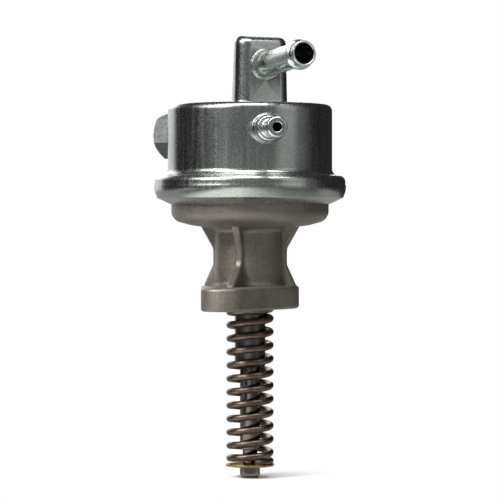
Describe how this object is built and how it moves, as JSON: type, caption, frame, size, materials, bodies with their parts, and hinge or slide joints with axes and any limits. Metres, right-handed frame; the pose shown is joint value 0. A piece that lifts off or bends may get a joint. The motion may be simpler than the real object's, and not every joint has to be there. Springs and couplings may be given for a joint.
{
  "type": "mechanical fuel pump",
  "caption": "Plunger-driven mechanical fuel pump: steel cover with hose outlet, return nipple and hex inlet, ribbed aluminium casting with two-bolt flange, and a sprung push rod.",
  "frame": {"origin": "centre of the mounting flange's underside, on the plunger's axis", "axes": "+Z along the plunger's axis, from the engine up to the cover; the two mounting bolts stand on a line along Y"},
  "size_m": [0.0776, 0.0854, 0.1672],
  "materials": {
    "zinc_steel": "zinc-plated drawn steel, satin",
    "zinc_tube": "bright zinc-plated steel tube",
    "fitting_steel": "dull plated machined steel",
    "cast_aluminium": "as-cast, fine grain",
    "dark_steel": "oiled dark steel",
    "rod_steel": "ground and hardened steel",
    "spring_steel": "oil-tempered wire",
    "yellow_zinc": "yellow chromate zinc",
    "rubber": "moulded",
    "coated_fabric": "rubber-coated fabric",
    "gasket_fibre": "pressed fibre",
    "valve_brass": "turned",
    "valve_disc": "moulded"
  },
  "bodies": {
    "housing": {"top_cover": "zinc_steel", "outlet_tube": "zinc_tube", "return_nipple": "zinc_tube", "inlet_fitting": "fitting_steel", "lower_body": "cast_aluminium", "guide_sleeve": "dark_steel", "return_spring": "spring_steel", "diaphragm": "coated_fabric", "stem_seal": "rubber", "seal_retainer": "zinc_steel", "diaphragm_spring": "spring_steel", "valve_body": "cast_aluminium", "cover_gasket": "gasket_fibre", "partition_seal": "rubber", "inlet_valve_seat": "valve_brass", "inlet_valve_spring": "spring_steel", "inlet_valve_cap": "valve_brass", "outlet_valve_seat": "valve_brass", "outlet_valve_spring": "spring_steel", "outlet_valve_cap": "valve_brass"},
    "plunger": {"push_rod": "rod_steel", "link_pin": "rod_steel", "spring_retainer": "yellow_zinc"},
    "diaphragm_core": {"diaphragm_stem": "rod_steel", "upper_plate": "zinc_steel", "lower_plate": "zinc_steel", "stem_washer": "zinc_steel"},
    "inlet_valve": {"inlet_valve_disc": "valve_disc"},
    "outlet_valve": {"outlet_valve_disc": "valve_disc"}
  },
  "joints": [
    {"name": "plunger_slide", "type": "slide", "parent": "housing", "child": "plunger", "axis": [0, 0, 1], "range_m": [0, 0.0065], "stiffness_N_per_m": 1500, "springref_m": -0.01, "deforming": ["return_spring"]},
    {"name": "diaphragm_slide", "type": "slide", "parent": "housing", "child": "diaphragm_core", "axis": [0, 0, 1], "range_m": [0, 0.0065], "deforming": ["diaphragm_spring", "diaphragm"]},
    {"name": "inlet_valve_lift", "type": "slide", "parent": "housing", "child": "inlet_valve", "axis": [0, 0, -1], "range_m": [0, 0.001], "stiffness_N_per_m": 60, "springref_m": -0.002, "deforming": ["inlet_valve_spring"]},
    {"name": "outlet_valve_lift", "type": "slide", "parent": "housing", "child": "outlet_valve", "axis": [0, 0, 1], "range_m": [0, 0.001], "stiffness_N_per_m": 60, "springref_m": -0.002, "deforming": ["outlet_valve_spring"]}
  ],
  "couplings": [
    {"joint": "diaphragm_slide", "follows": "plunger_slide", "ratio": 1}
  ]
}
